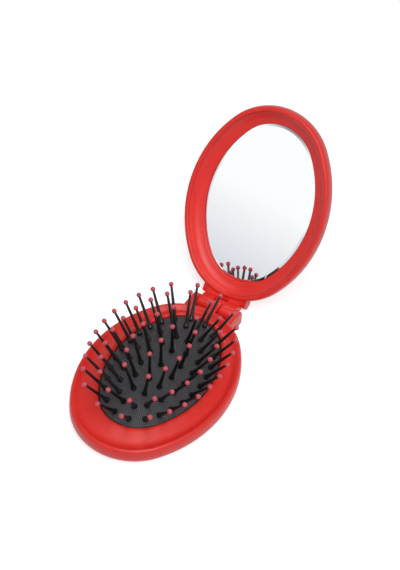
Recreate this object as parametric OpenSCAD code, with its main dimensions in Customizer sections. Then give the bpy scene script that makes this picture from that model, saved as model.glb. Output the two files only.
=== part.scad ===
// Folding pocket hairbrush with a mirror in its lid.
// The base is an oval dish whose rubber cushion carries splayed pins. A push pad in the
// underside lifts the cushion and its pins for use. Closing the lid lets them sink again,
// and the banks of outer pins lean inward so that they pass the opening.
// Origin: centre of the oval on the flat underside. X is along the hinge pin, Y points to
// the hinge and Z is up. The lid stands open at rest.

/* [Body] */
// Length of the oval body, along Y
body_l = 86; // [80:0.5:94]
// Width of the oval body, along X
body_w = 64; // [60:0.5:68]
// Height of the base, from the underside to the rim
base_h = 8.5; // [8:0.1:10]
// Wall of the outer shells
wall = 1.8; // [1.4:0.1:2]
// Thickness of the deck round the cushion
deck_t = 1.8; // [1.4:0.1:2]
// Thickness of the plate that closes the underside
back_t = 1.6; // [1.2:0.1:1.8]
// Width of the bead that forms the rim
rim_w = 2.6; // [2:0.1:3]
// Depth of the groove inside the rim bead
groove = 1.3; // [0.8:0.1:1.5]
// Width of the slope from the rim bead down to the bottom of the groove
valley_w = 2.2; // [1.5:0.1:2.6]

/* [Cushion] */
// Inset of the cushion opening from the outline
opening_in = 10.2; // [9.5:0.1:11]
// How far the opening lies towards the hinge
cushion_y = 3; // [0:0.1:3.2]
// Thickness of the rubber cushion
rubber_t = 1.1; // [0.9:0.1:1.2]
// Rise of the cushion from its edge to its crown
crown = 3; // [2:0.1:3.5]
// How far the cushion's edge lies below the rim
edge_drop = 0.5; // [0.2:0.1:0.8]
// Width of the cushion's flange under the deck
flange_w = 1.6; // [1.4:0.1:1.8]
// Height of the ring that clamps the cushion
clamp_h = 1.5; // [1.2:0.1:1.8]

/* [Pins] */
// Length of a pin above the cushion, with its ball tip
pin_l = 16.5; // [14:0.1:17]
// Radius of a pin at its collar end
pin_foot_r = 0.75; // [0.6:0.05:0.8]
// Radius of a pin under its tip
pin_end_r = 0.5; // [0.4:0.05:0.6]
// Radius of the collar above the cushion
collar_r = 1.25; // [1:0.05:1.4]
// Radius of the head under the cushion
head_r = 1.3; // [1.1:0.05:1.4]
// Radius of the ball tips
tip_r = 1.05; // [0.8:0.05:1.2]
// Inset of the outer row of pins from the cushion opening
outer_in = 3.4; // [3:0.1:3.8]
// Radius of the inner row of pins at the ends of its oval
inner_r = 1.9; // [1.5:0.1:2.8]
// Distance between the pins of the middle row
centre_step = 8.6; // [6:0.1:9]
// Outward lean of the outer row
outer_splay = 36; // [30:1:40]
// Outward lean of the second row
second_splay = 31; // [20:1:33]
// Outward lean of the inner row
inner_splay = 14; // [8:1:18]

/* [Push pad] */
// Thickness of the pad's floor
pad_t = 1.6; // [1.2:0.1:2]
// Height of the pad, from its floor to its rim
pad_h = 4.6; // [3:0.1:4.8]
// How far the pad lies inside the underside
pad_recess = 0.4; // [0.2:0.1:0.6]
// Gap round the pad
pad_gap = 0.5; // [0.4:0.1:0.8]

/* [Lid] */
// Height of the lid, from its rim to its back
lid_h = 9.5; // [9:0.1:11]
// Inset of the mirror opening from the outline
mirror_in = 7.8; // [7:0.1:8.6]
// Thickness of the mirror glass
glass_t = 1.8; // [1.5:0.1:2]
// Thickness of the foam tape behind the glass
tape_t = 0.3; // [0.2:0.1:0.5]
// Inset of the foam tape from the mirror opening
tape_in = 2.5; // [2:0.1:6]
// Width of the ground bevel round the glass
glass_bevel = 0.9; // [0.6:0.1:2]
// Gap between the closed rims
rim_gap = 0.3; // [0.2:0.05:0.5]
// Angle of the open lid from closed
lid_open = 122; // [110:1:125]

/* [Hinge] */
// Distance of the hinge pin beyond the end of the oval
hinge_out = 4.5; // [4.2:0.1:5]
// Height of the hinge pin above the underside
hinge_z = 4.4; // [4.3:0.1:4.8]
// Radius of the knuckles
barrel_r = 3.1; // [2.8:0.1:3.2]
// Radius of the steel hinge pin
hinge_pin_r = 1; // [0.8:0.1:1.2]
// Half the width of the middle post
post_half = 2.25; // [2:0.05:2.6]
// Width of each lid knuckle
knuckle_w = 5.6; // [5:0.1:6.5]
// Width of each outer ear
ear_w = 2.85; // [2:0.05:3.5]
// Side gap between the knuckles
knuckle_gap = 0.4; // [0.3:0.05:0.5]
// Thickness of the tongue under the knuckles
tongue_t = 1; // [0.8:0.05:1]

/* [Hidden] */
$fn = 64;

red = [0.84, 0.13, 0.12];
black = [0.09, 0.09, 0.10];
pink = [0.90, 0.36, 0.40];
steel = [0.72, 0.73, 0.75];
silver = [0.86, 0.89, 0.92];

// Rounds a length to a thousandth, so that both arcs of the oval share the same edge
function whole_um(v) = round(v * 1000) / 1000;

// Four-centre oval: two end arcs and two side arcs that meet smoothly. The arcs meet on
// lines that slope as the long side of a 3-4-5 triangle
seam_x = 0.8;
seam_y = 0.6;
half_w = whole_um(body_w / 2);
centre_gap = round((body_l / 2 - half_w) / (seam_x + seam_y - 1) * 100) / 100;
half_l = half_w + centre_gap * (seam_x + seam_y - 1);
end_c = centre_gap * seam_y;
side_c = centre_gap * seam_x;
end_r = half_l - end_c;
side_r = half_w + side_c;
side_half = atan(seam_y / seam_x);
end_half = 90 - side_half;
reach = 10 * ceil(body_l / 10);

// Levels of the base
deck_under = base_h - deck_t;
groove_under = base_h - groove - deck_t;
flange_z = deck_under - rubber_t;
clamp_z = flange_z - clamp_h;
dome_edge = base_h - edge_drop;
dome_in = opening_in + 0.3;
dome_flat = end_r - 2.5;
dome_steps = 9;
seat_in = opening_in - flange_w;
flange_gap = 0.05;
back_in = 3 + wall;
back_gap = 0.1;
guide_w = 1.6;
fit_gap = 0.05;
peg_r = 1;
boss_r = 1.8;
peg_in = 5.4;
peg_turn = 25;
lip_chamfer = 0.4;

// Levels of the push pad and of the plate under the inner pins
pad_in = opening_in + 0.8 + pad_gap;
pad_wall = 1.2;
carrier_in = end_r - 3.6;
carrier_t = 1.5;
carrier_wall = 1.2;

// Pins, along their own axis from the cushion's surface
head_top = -2.1;
head_t = 0.8;
collar_low = 0.15;
collar_z = 0.75;
collar_top = 2.4;
tip_flat = 0.75;
shaft_top = pin_l - tip_r - tip_flat;
hole_r = pin_foot_r + 0.2;
seat_gap = 0.3;
outer_d = opening_in + outer_in;
inner_d = end_r - inner_r;
second_d = (outer_d + inner_d) / 2;
bank_d = (outer_d + second_d) / 2;
outer_count = 26;
second_count = 20;
inner_count = 12;
centre_count = 3;
bank_count = 10;
// Outer pins of each bank: the front end, up the right side, the hinge end, down the left
bank_outer = [2, 3, 2, 3, 3, 2, 3, 3, 2, 3];

// Hinge
hinge_y = half_l + hinge_out;
bore_r = hinge_pin_r + fit_gap;
knuckle_x = post_half + knuckle_gap;
ear_x = knuckle_x + knuckle_w + knuckle_gap;
hinge_half = ear_x + ear_w;
lug_top = hinge_z + barrel_r;
bracket_y = half_l - 6;
flange_half = knuckle_x + knuckle_w + 2.2;
lid_rim_z = base_h + rim_gap;
mirror_depth = lid_h - wall - tape_t - glass_t;
ear_cap = 0.8;
pin_recess = 0.3;
arm_l = 9.2;
arm_out = 90 - (180 - lid_open);
glass_gap = 0.2;

// ---- Profiles of [inset from the outline, height] ----

// Outside of the base from its foot up to the rim bead, then the groove and the deck
function base_outside() = [
    [back_in, 0], [3.6, 0], [2.3, 0.5], [1.1, 1.5], [0.3, 2.9], [0, base_h / 2],
    [0.1, base_h - 2.3], [0.4, base_h - 0.9], [0.8, base_h - 0.2], [rim_w / 2, base_h],
    [1.9, base_h - 0.15], [rim_w, base_h - 0.4 * groove],
    [rim_w + valley_w / 3, base_h - 0.75 * groove],
    [rim_w + valley_w * 2 / 3, base_h - 0.95 * groove], [rim_w + valley_w, base_h - groove],
    [rim_w + valley_w + 1.2, base_h - 0.75 * groove],
    [rim_w + valley_w + 2.4, base_h - 0.3 * groove], [rim_w + valley_w + 3.6, base_h]];

// Inside of the same wall, from the open foot up to the underside of the deck
function base_inside() = [
    [back_in, -1], [back_in, back_t], [wall + 1.8, back_t], [wall + 0.9, back_t + 0.5],
    [wall + 0.3, 2.9], [wall, base_h / 2], [wall + 0.2, groove_under + 0.2],
    [rim_w + 0.4, groove_under], [rim_w + valley_w, groove_under],
    [seat_in - cushion_y - 0.2, deck_under]];

// Outside of the lid from its rim to its flat back, as heights above the rim
function lid_outside() = [
    [rim_w - 0.7, 0.15], [rim_w / 2, 0], [0.8, 0.15], [0.35, 0.8], [0.05, 2.4], [0, 4.3],
    [0.3, lid_h - 3.3], [1.1, lid_h - 1.7], [2.3, lid_h - 0.6], [4, lid_h]];

// Inside of the lid from its flat floor back to the rim
function lid_inside() = [
    [wall + 2.8, lid_h - wall], [wall + 1.2, lid_h - wall - 0.7],
    [wall + 0.3, lid_h - wall - 1.8], [wall, 4.3], [wall + 0.05, 2.4],
    [rim_w - 0.7, 1.9]];

// Mirror frame: its hollow face from the mirror out to the rim, then its back to the floor
function frame_edge() = [
    [mirror_in, mirror_depth - 0.65], [mirror_in - 0.6, mirror_depth - 0.75],
    [mirror_in - 1.6, mirror_depth - 1.2], [rim_w + 2.2, 3.2], [rim_w + 1, 1.9],
    [rim_w, 0.8], [rim_w - 0.65, 0.35], [rim_w - 0.65, 1.8], [rim_w + 0.3, 2.9],
    [rim_w + 1.4, 4.2], [rim_w + 2.8, mirror_depth - 0.1],
    [mirror_in - 1.4, mirror_depth + 0.3], [mirror_in - 1.4, lid_h - wall]];

// Height of the cushion's upper surface at an inset from the outline
function dome_u(d) = min(1, max(0, (d - dome_in) / (dome_flat - dome_in)));
function dome_z(d) = dome_edge + crown * (1 - pow(1 - dome_u(d), 2));

// ---- Sweeps round the oval ----

// Turns an edge about the upright axis, with its outline at radius r
module turned(edge, r) {
    points = [for (p = edge) [r - whole_um(p[0]), whole_um(p[1])]];
    rotate_extrude()
        polygon(concat([[0, points[0][1]]], points, [[0, points[len(points) - 1][1]]]));
}

// Upright prism that keeps one arc of the oval
module share(points) {
    translate([0, 0, -reach])
        linear_extrude(2 * reach)
            polygon(points);
}

// Fills the oval inside an edge: its first and last heights run on to the middle
module oval_solid(edge) {
    far_x = reach * seam_x;
    far_y = end_c + reach * seam_y;
    for (side = [-1, 1]) {
        intersection() {
            translate([0, side * end_c, 0])
                turned(edge, end_r);
            share([[0, side * end_c], [far_x, side * far_y], [-far_x, side * far_y]]);
        }
        intersection() {
            translate([-side * side_c, 0, 0])
                turned(edge, side_r);
            share([[0, end_c], [side * far_x, far_y], [side * far_x, -far_y], [0, -end_c]]);
        }
    }
}

// A flat oval plate
module oval_plate(inset, low, high) {
    oval_solid([[inset, low], [inset, high]]);
}

// A band of square section round the oval
module oval_band(outer, inner, low, high) {
    difference() {
        oval_plate(outer, low, high);
        oval_plate(inner, low - 1, high + 1);
    }
}

// Moves what belongs to the cushion opening
module at_cushion() {
    translate([0, cushion_y, 0])
        children();
}

// ---- Places of the pins ----

// Arc of the oval at a share of its length, measured at inset d from the front end
function end_len(d) = 2 * end_half * PI / 180 * (end_r - d);
function side_len(d) = 2 * side_half * PI / 180 * (side_r - d);
function oval_len(d) = 2 * (end_len(d) + side_len(d));
function turn_of(l, r) = l / r * 180 / PI;

// Gives [centre x, centre y, arc radius, direction] at share s
function arc_at(s, d) = let (
    e = end_len(d), f = side_len(d), l = s * oval_len(d))
    l < e / 2 ? [0, -end_c, end_r, -90 + turn_of(l, end_r - d)] :
    l < e / 2 + f ? [-side_c, 0, side_r, -side_half + turn_of(l - e / 2, side_r - d)] :
    l < 1.5 * e + f ? [0, end_c, end_r, side_half + turn_of(l - e / 2 - f, end_r - d)] :
    l < 1.5 * e + 2 * f ?
        [side_c, 0, side_r, 180 - side_half + turn_of(l - 1.5 * e - f, side_r - d)] :
        [0, -end_c, end_r, 180 + side_half + turn_of(l - 1.5 * e - 2 * f, end_r - d)];

// Point on the cushion at inset d on arc a
function foot_of(a, d) = [
    a[0] + (a[2] - d) * cos(a[3]), a[1] + (a[2] - d) * sin(a[3]) + cushion_y, dome_z(d)];

// Each pin is [foot, direction, lean]
function row(count, d, place_d, splay, from, to) = [
    for (i = [from:1:to - 1])
        let (a = arc_at((i + 0.5) / count, place_d)) [foot_of(a, d), a[3], splay]];

function sum_to(list, n) = n <= 0 ? 0 : list[n - 1] + sum_to(list, n - 1);
function bank_places(k) = concat(
    row(outer_count, outer_d, bank_d, outer_splay,
        sum_to(bank_outer, k) - 1, sum_to(bank_outer, k + 1) - 1),
    row(second_count, second_d, bank_d, second_splay, 2 * k - 1, 2 * k + 1));
core_places = concat(
    row(inner_count, inner_d, inner_d, inner_splay, 0, inner_count),
    [for (i = [0:1:centre_count - 1])
        [[0, (i - (centre_count - 1) / 2) * centre_step + cushion_y, dome_z(dome_flat)], 0, 0]]);

// Stands its children on each place, along the pin's own axis
module on_places(places) {
    for (p = places)
        translate(p[0])
            rotate([0, p[2], p[1]])
                children();
}

// One nylon pin: head, neck, collar and tapered shaft
module pin() {
    translate([0, 0, head_top - head_t])
        cylinder(r = head_r, h = head_t);
    translate([0, 0, head_top - head_t])
        cylinder(r = pin_foot_r, h = collar_top - head_top + head_t);
    translate([0, 0, collar_low])
        cylinder(r1 = pin_foot_r, r2 = collar_r, h = collar_z - collar_low);
    translate([0, 0, collar_z])
        cylinder(r1 = collar_r, r2 = pin_foot_r, h = collar_top - collar_z);
    translate([0, 0, collar_top])
        cylinder(r1 = pin_foot_r, r2 = pin_end_r, h = shaft_top - collar_top);
}

// One ball tip, seated on the flat end of the shaft
module tip() {
    intersection() {
        translate([0, 0, pin_l - tip_r])
            sphere(r = tip_r);
        translate([-2 * tip_r, -2 * tip_r, shaft_top])
            cube([4 * tip_r, 4 * tip_r, 3 * tip_r]);
    }
}

// ---- Base ----

// Shape in the YZ plane, drawn out along X from x to x + w
module along_x(x, w) {
    translate([x, 0, 0])
        rotate([90, 0, 90])
            linear_extrude(w)
                children();
}

// Cheek of the base that carries the hinge pin
module lug(x, w) {
    along_x(x, w)
        union() {
            translate([hinge_y, hinge_z])
                circle(barrel_r);
            polygon([[bracket_y, 0], [hinge_y + barrel_r, 0], [hinge_y + barrel_r, hinge_z],
                [hinge_y, lug_top], [bracket_y, lug_top]]);
        }
}

// Hinge bracket: middle post, two ears and the tongue that stops the open lid
module bracket() {
    lug(-post_half, 2 * post_half);
    lug(ear_x, ear_w);
    lug(-ear_x - ear_w, ear_w);
    translate([-hinge_half, bracket_y, 0])
        cube([2 * hinge_half, hinge_y + barrel_r - bracket_y, tongue_t]);
}

// Places of the pegs that hold the underside
module at_pegs() {
    for (side = [-1, 1], end = [-1, 1])
        translate([side * ((side_r - peg_in) * cos(peg_turn) - side_c),
            end * (side_r - peg_in) * sin(peg_turn), 0])
            children();
}

module base_shell() color(red) {
    difference() {
        union() {
            difference() {
                oval_solid(base_outside());
                oval_solid(base_inside());
            }
            difference() {
                bracket();
                oval_plate(wall - 0.4, -1, base_h + 1);
            }
            at_pegs()
                translate([0, 0, back_t + 0.6])
                    cylinder(r = boss_r, h = deck_under - back_t - 0.6);
        }
        at_cushion()
            oval_solid([[opening_in, deck_under - 1], [opening_in, base_h - lip_chamfer],
                [opening_in - lip_chamfer - 0.1, base_h + 0.1]]);
        at_pegs()
            translate([0, 0, back_t])
                cylinder(r = peg_r + fit_gap, h = flange_z - back_t);
        // The pin goes in from the left; the right ear is closed
        along_x(-hinge_half - 1, 2 * hinge_half + 1 - ear_cap)
            translate([hinge_y, hinge_z])
                circle(bore_r);
    }
}

module base_back() color(red) {
    difference() {
        union() {
            oval_plate(back_in + back_gap, 0, back_t);
            at_cushion()
                oval_plate(pad_in - pad_gap - guide_w, back_t, clamp_z);
        }
        at_cushion()
            oval_plate(pad_in - pad_gap, -1, clamp_z + 1);
    }
    at_pegs()
        translate([0, 0, back_t])
            cylinder(r = peg_r, h = flange_z - 0.3 - back_t);
}

module clamp_ring() color(black)
    at_cushion()
        oval_band(seat_in, opening_in + 0.5, clamp_z, flange_z);

module cushion() color(black) {
    steps = [for (i = [0:1:dome_steps]) dome_in + (dome_flat - dome_in) * i / dome_steps];
    over = [for (d = steps) [d, dome_z(d)]];
    under = [for (i = [dome_steps:-1:1]) over[i] - [0, rubber_t]];
    difference() {
        at_cushion()
            oval_solid(concat(under, [[dome_in + rubber_t, flange_z], [seat_in, flange_z],
                [seat_in, deck_under - flange_gap], [dome_in, deck_under - flange_gap]], over));
        on_places(concat([for (k = [0:1:bank_count - 1]) each bank_places(k)], core_places))
            translate([0, 0, head_top - head_t])
                cylinder(r = hole_r, h = collar_top - head_top + head_t);
    }
}

// ---- Push pad and pins ----

module push_pad() color(red)
    at_cushion()
        difference() {
            oval_solid([[pad_in + 0.5, pad_recess], [pad_in, pad_recess + 0.5],
                [pad_in, pad_recess + pad_h]]);
            oval_plate(pad_in + pad_wall, pad_recess + pad_t, pad_recess + pad_h + 1);
        }

module pin_carrier() color(black)
    at_cushion() {
        top = dome_z(dome_flat) + head_top - head_t - seat_gap;
        oval_plate(carrier_in, top - carrier_t, top);
        oval_band(carrier_in, carrier_in + carrier_wall, pad_recess + pad_t, top - carrier_t);
    }

module core_pins() color(black) on_places(core_places) pin();
module core_tips() color(pink) on_places(core_places) tip();
module bank_pins(k) color(black) on_places(bank_places(k - 1)) pin();
module bank_tips(k) color(pink) on_places(bank_places(k - 1)) tip();

// ---- Hinge pin ----

module hinge_pin() color(steel)
    along_x(pin_recess - hinge_half, 2 * hinge_half - pin_recess - ear_cap - fit_gap)
        translate([hinge_y, hinge_z])
            circle(hinge_pin_r);

// ---- Lid, drawn closed and then swung open about the hinge pin ----

module swung_open() {
    translate([0, hinge_y, hinge_z])
        rotate([-lid_open, 0, 0])
            translate([0, -hinge_y, -hinge_z])
                children();
}

// Raises what is drawn from the lid's rim plane
module on_rim() {
    translate([0, 0, lid_rim_z])
        children();
}

// Point of the arm's outer face, which lies level with the floor when the lid is open
function arm_point(l) = [
    hinge_y + barrel_r * cos(arm_out) - l * sin(arm_out),
    hinge_z + barrel_r * sin(arm_out) + l * cos(arm_out)];

module knuckle(x) {
    along_x(x, knuckle_w)
        union() {
            translate([hinge_y, hinge_z])
                circle(barrel_r);
            polygon([arm_point(0), arm_point(arm_l), [half_l - 1, lid_rim_z + 5.6],
                [half_l - 1.4, lid_rim_z + 0.8], [half_l + 0.6, lid_rim_z + 0.4],
                [hinge_y - barrel_r, hinge_z], [hinge_y, hinge_z]]);
        }
}

// Block on the lid's wall that joins the two knuckles
module lid_flange() {
    along_x(-flange_half, 2 * flange_half)
        polygon([[half_l - 5, lid_rim_z + 0.8], [half_l + 0.9, lid_rim_z + 0.6],
            [half_l + 1.8, lid_rim_z + 2.4], arm_point(arm_l),
            [half_l, lid_rim_z + 6.2], [half_l - 5, lid_rim_z + 5.8]]);
}

module lid_shell() color(red)
    swung_open()
        difference() {
            union() {
                on_rim()
                    oval_solid(concat([[wall + 2.8, lid_h - wall]],
                        [for (i = [1:1:len(lid_inside()) - 1]) lid_inside()[i]],
                        lid_outside()));
                difference() {
                    union() {
                        knuckle(knuckle_x);
                        knuckle(-knuckle_x - knuckle_w);
                        lid_flange();
                    }
                    oval_plate(wall - 0.4, 0, lid_rim_z + lid_h + 1);
                }
            }
            along_x(-hinge_half - 1, 2 * hinge_half + 2)
                translate([hinge_y, hinge_z])
                    circle(bore_r);
        }

module mirror_frame() color(red)
    swung_open()
        on_rim()
            difference() {
                oval_solid(frame_edge());
                oval_plate(mirror_in, 0, lid_h);
            }

module mirror_glass() color(silver)
    swung_open()
        on_rim()
            oval_solid([[mirror_in + glass_gap + glass_bevel, mirror_depth],
                [mirror_in + glass_gap, mirror_depth + 0.6],
                [mirror_in + glass_gap, mirror_depth + glass_t]]);

module mirror_tape() color([0.95, 0.95, 0.93])
    swung_open()
        on_rim()
            oval_plate(mirror_in + tape_in, mirror_depth + glass_t, lid_h - wall);

base_shell();
base_back();
clamp_ring();
cushion();
push_pad();
pin_carrier();
core_pins();
core_tips();
bank_pins(1);  // bank_1_pins
bank_pins(2);  // bank_2_pins
bank_pins(3);  // bank_3_pins
bank_pins(4);  // bank_4_pins
bank_pins(5);  // bank_5_pins
bank_pins(6);  // bank_6_pins
bank_pins(7);  // bank_7_pins
bank_pins(8);  // bank_8_pins
bank_pins(9);  // bank_9_pins
bank_pins(10);  // bank_10_pins
bank_tips(1);  // bank_1_tips
bank_tips(2);  // bank_2_tips
bank_tips(3);  // bank_3_tips
bank_tips(4);  // bank_4_tips
bank_tips(5);  // bank_5_tips
bank_tips(6);  // bank_6_tips
bank_tips(7);  // bank_7_tips
bank_tips(8);  // bank_8_tips
bank_tips(9);  // bank_9_tips
bank_tips(10);  // bank_10_tips
hinge_pin();
lid_shell();
mirror_frame();
mirror_glass();
mirror_tape();
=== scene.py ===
"""Dresses the folding hairbrush: smooth shells, cushion, pins, mirror, hinge and stage."""

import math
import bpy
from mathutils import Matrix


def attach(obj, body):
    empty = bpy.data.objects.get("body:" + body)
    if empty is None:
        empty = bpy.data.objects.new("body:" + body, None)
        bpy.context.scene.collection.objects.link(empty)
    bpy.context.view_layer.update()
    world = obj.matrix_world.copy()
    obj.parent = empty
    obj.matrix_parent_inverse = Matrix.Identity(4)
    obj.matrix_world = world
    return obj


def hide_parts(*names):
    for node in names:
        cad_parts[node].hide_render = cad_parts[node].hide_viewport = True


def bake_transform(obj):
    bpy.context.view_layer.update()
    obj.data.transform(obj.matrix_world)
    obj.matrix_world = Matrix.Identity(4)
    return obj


bl_info = {
    "name": "Folding Hairbrush with Mirror",
    "version": (1, 0, 0),
    "blender": (4, 5, 0),
    "location": "View3D > Sidebar > Hairbrush",
    "description": "Builds the visible pieces of a folding pocket hairbrush with a mirror in its lid",
    "category": "Object",
}

import bmesh
import bpy
from bpy.props import FloatProperty, FloatVectorProperty, IntProperty, PointerProperty
from bpy.types import Operator, Panel, PropertyGroup
from mathutils import Matrix, Vector

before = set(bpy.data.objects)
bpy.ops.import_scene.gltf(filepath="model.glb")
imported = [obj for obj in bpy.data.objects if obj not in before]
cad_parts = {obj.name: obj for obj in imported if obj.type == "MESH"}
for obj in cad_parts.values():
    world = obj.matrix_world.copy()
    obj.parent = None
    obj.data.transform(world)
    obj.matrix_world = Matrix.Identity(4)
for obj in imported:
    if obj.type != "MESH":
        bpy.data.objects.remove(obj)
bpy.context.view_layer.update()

MM = 0.001
# How far below its middle a ball tip is cut off, to sit on its pin
TIP_SEAT = 0.75 * MM
# Step from the opening's edge to the edge of the cushion's dome
DOME_STEP = 0.3 * MM
# Blender's sensor in millimetres lies along the picture's long side, in pixels
SENSOR = 36
PICTURE = 570


def linear(code):
    """Turns an sRGB hex colour into the linear values that Blender shades with."""
    values = [int(code[i:i + 2], 16) / 255 for i in (1, 3, 5)]
    return tuple(v / 12.92 if v <= 0.04045 else ((v + 0.055) / 1.055) ** 2.4 for v in values)


# ---- Sizes and colours ----


class BrushBody(PropertyGroup):
    length: FloatProperty(name="Length", description="Length of the oval body", default=0.086, unit="LENGTH")
    width: FloatProperty(name="Width", description="Width of the oval body", default=0.064, unit="LENGTH")
    height: FloatProperty(
        name="Base height", description="Height of the base up to its rim", default=0.0085, unit="LENGTH")
    wall: FloatProperty(name="Wall", description="Wall of the outer shells", default=0.0018, unit="LENGTH")
    deck: FloatProperty(
        name="Deck", description="Thickness of the deck round the cushion", default=0.0018, unit="LENGTH")
    back: FloatProperty(
        name="Back", description="Thickness of the plate under the base", default=0.0016, unit="LENGTH")
    rim: FloatProperty(name="Rim", description="Width of the bead that forms the rim", default=0.0026, unit="LENGTH")
    groove: FloatProperty(
        name="Groove", description="Depth of the groove inside the rim bead", default=0.0013, unit="LENGTH")
    valley: FloatProperty(
        name="Groove slope", description="Width of the slope from the rim bead to the bottom of the groove",
        default=0.0026, unit="LENGTH")


class BrushCushion(PropertyGroup):
    opening: FloatProperty(
        name="Opening inset", description="Inset of the cushion opening from the outline",
        default=0.0102, unit="LENGTH")
    shift: FloatProperty(
        name="Shift", description="How far the opening lies towards the hinge", default=0.003, unit="LENGTH")
    skin: FloatProperty(name="Skin", description="Thickness of the rubber", default=0.0011, unit="LENGTH")
    crown: FloatProperty(
        name="Crown", description="Rise of the cushion from its edge to its crown", default=0.003, unit="LENGTH")
    edge_drop: FloatProperty(
        name="Edge drop", description="How far the cushion's edge lies below the rim",
        default=0.0005, unit="LENGTH")
    flange: FloatProperty(
        name="Flange", description="Width of the flange under the deck", default=0.0016, unit="LENGTH")
    flat_from: FloatProperty(
        name="Flat from", description="Inset at which the crown becomes level", default=0.024, unit="LENGTH")
    thread_pitch: FloatProperty(
        name="Thread pitch", description="Distance between the threads of the mesh on the rubber",
        default=0.0008, unit="LENGTH")


class BrushPins(PropertyGroup):
    length: FloatProperty(
        name="Length", description="Length of a pin above the cushion, with its tip",
        default=0.0165, unit="LENGTH")
    foot: FloatProperty(
        name="Foot radius", description="Radius of a pin at its collar end", default=0.00075, unit="LENGTH")
    end: FloatProperty(name="End radius", description="Radius of a pin under its tip", default=0.0005, unit="LENGTH")
    collar: FloatProperty(
        name="Collar radius", description="Radius of the collar above the cushion",
        default=0.00125, unit="LENGTH")
    head: FloatProperty(
        name="Head radius", description="Radius of the head under the cushion", default=0.0013, unit="LENGTH")
    tip: FloatProperty(name="Tip radius", description="Radius of the ball tips", default=0.00105, unit="LENGTH")
    outer_inset: FloatProperty(
        name="Outer row inset", description="Inset of the outer row from the opening",
        default=0.0034, unit="LENGTH")
    inner_end: FloatProperty(
        name="Inner row radius", description="Radius of the inner row at the ends of its oval",
        default=0.0019, unit="LENGTH")
    centre_step: FloatProperty(
        name="Centre step", description="Distance between the pins of the middle row",
        default=0.0086, unit="LENGTH")
    outer_count: IntProperty(name="Outer pins", description="Pins in the outer row", default=26)
    second_count: IntProperty(name="Second row pins", description="Pins in the second row", default=20)
    inner_count: IntProperty(name="Inner pins", description="Pins in the inner row", default=12)
    centre_count: IntProperty(name="Centre pins", description="Pins in the middle row", default=3)
    outer_lean: FloatProperty(
        name="Outer lean", description="Outward lean of the outer row",
        default=math.radians(36), subtype="ANGLE")
    second_lean: FloatProperty(
        name="Second lean", description="Outward lean of the second row",
        default=math.radians(31), subtype="ANGLE")
    inner_lean: FloatProperty(
        name="Inner lean", description="Outward lean of the inner row",
        default=math.radians(14), subtype="ANGLE")


class BrushLid(PropertyGroup):
    height: FloatProperty(
        name="Height", description="Height of the lid from its rim to its back", default=0.0095, unit="LENGTH")
    mirror_depth: FloatProperty(
        name="Mirror depth", description="Depth of the mirror below the rim", default=0.0056, unit="LENGTH")
    mirror_inset: FloatProperty(
        name="Mirror inset", description="Inset of the mirror opening from the outline",
        default=0.0078, unit="LENGTH")
    glass: FloatProperty(name="Glass", description="Thickness of the mirror glass", default=0.0018, unit="LENGTH")
    bevel: FloatProperty(
        name="Glass bevel", description="Width of the ground bevel round the glass", default=0.0009, unit="LENGTH")
    rim_gap: FloatProperty(name="Rim gap", description="Gap between the closed rims", default=0.0003, unit="LENGTH")
    opened: FloatProperty(
        name="Open angle", description="Angle of the open lid from closed",
        default=math.radians(122), subtype="ANGLE")


class BrushHinge(PropertyGroup):
    out: FloatProperty(
        name="Reach", description="Distance of the hinge pin beyond the end of the oval",
        default=0.0045, unit="LENGTH")
    level: FloatProperty(
        name="Level", description="Height of the hinge pin above the underside", default=0.0044, unit="LENGTH")
    barrel: FloatProperty(name="Barrel radius", description="Radius of the knuckles", default=0.0031, unit="LENGTH")
    pin: FloatProperty(
        name="Bore radius", description="Radius of the bore for the hinge pin", default=0.00105, unit="LENGTH")
    post: FloatProperty(
        name="Half post", description="Half the width of the middle post", default=0.00225, unit="LENGTH")
    knuckle: FloatProperty(name="Knuckle", description="Width of each lid knuckle", default=0.0056, unit="LENGTH")
    ear: FloatProperty(name="Ear", description="Width of each outer ear", default=0.00285, unit="LENGTH")
    gap: FloatProperty(name="Side gap", description="Side gap between the knuckles", default=0.0004, unit="LENGTH")
    tongue: FloatProperty(
        name="Tongue", description="Thickness of the tongue under the knuckles", default=0.001, unit="LENGTH")
    arm: FloatProperty(
        name="Arm", description="Length of the lid's arms beyond the barrel", default=0.0092, unit="LENGTH")
    edge: FloatProperty(
        name="Edge rounding", description="Rounding of the edges of the hinge pieces",
        default=0.00045, unit="LENGTH")


class BrushColours(PropertyGroup):
    red: FloatVectorProperty(
        name="Shell red", description="Colour of the moulded shells",
        default=linear("#E5261D"), subtype="COLOR", size=3)
    rubber: FloatVectorProperty(
        name="Rubber", description="Colour of the cushion's rubber",
        default=linear("#151416"), subtype="COLOR", size=3)
    thread: FloatVectorProperty(
        name="Thread", description="Colour of the mesh on the rubber",
        default=linear("#48464B"), subtype="COLOR", size=3)
    nylon: FloatVectorProperty(
        name="Pin black", description="Colour of the nylon pins",
        default=linear("#060506"), subtype="COLOR", size=3)
    tip: FloatVectorProperty(
        name="Tip pink", description="Colour of the ball tips",
        default=linear("#CB4A58"), subtype="COLOR", size=3)
    silver: FloatVectorProperty(
        name="Silvering", description="Colour of the mirror",
        default=linear("#FCFDFE"), subtype="COLOR", size=3)
    steel: FloatVectorProperty(
        name="Steel", description="Colour of the hinge pin",
        default=linear("#B9BBBE"), subtype="COLOR", size=3)
    tape: FloatVectorProperty(
        name="Tape", description="Colour of the foam tape",
        default=linear("#EDEDE8"), subtype="COLOR", size=3)
    floor: FloatVectorProperty(
        name="Floor", description="Colour of the floor",
        default=linear("#C9CACC"), subtype="COLOR", size=3)


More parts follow.
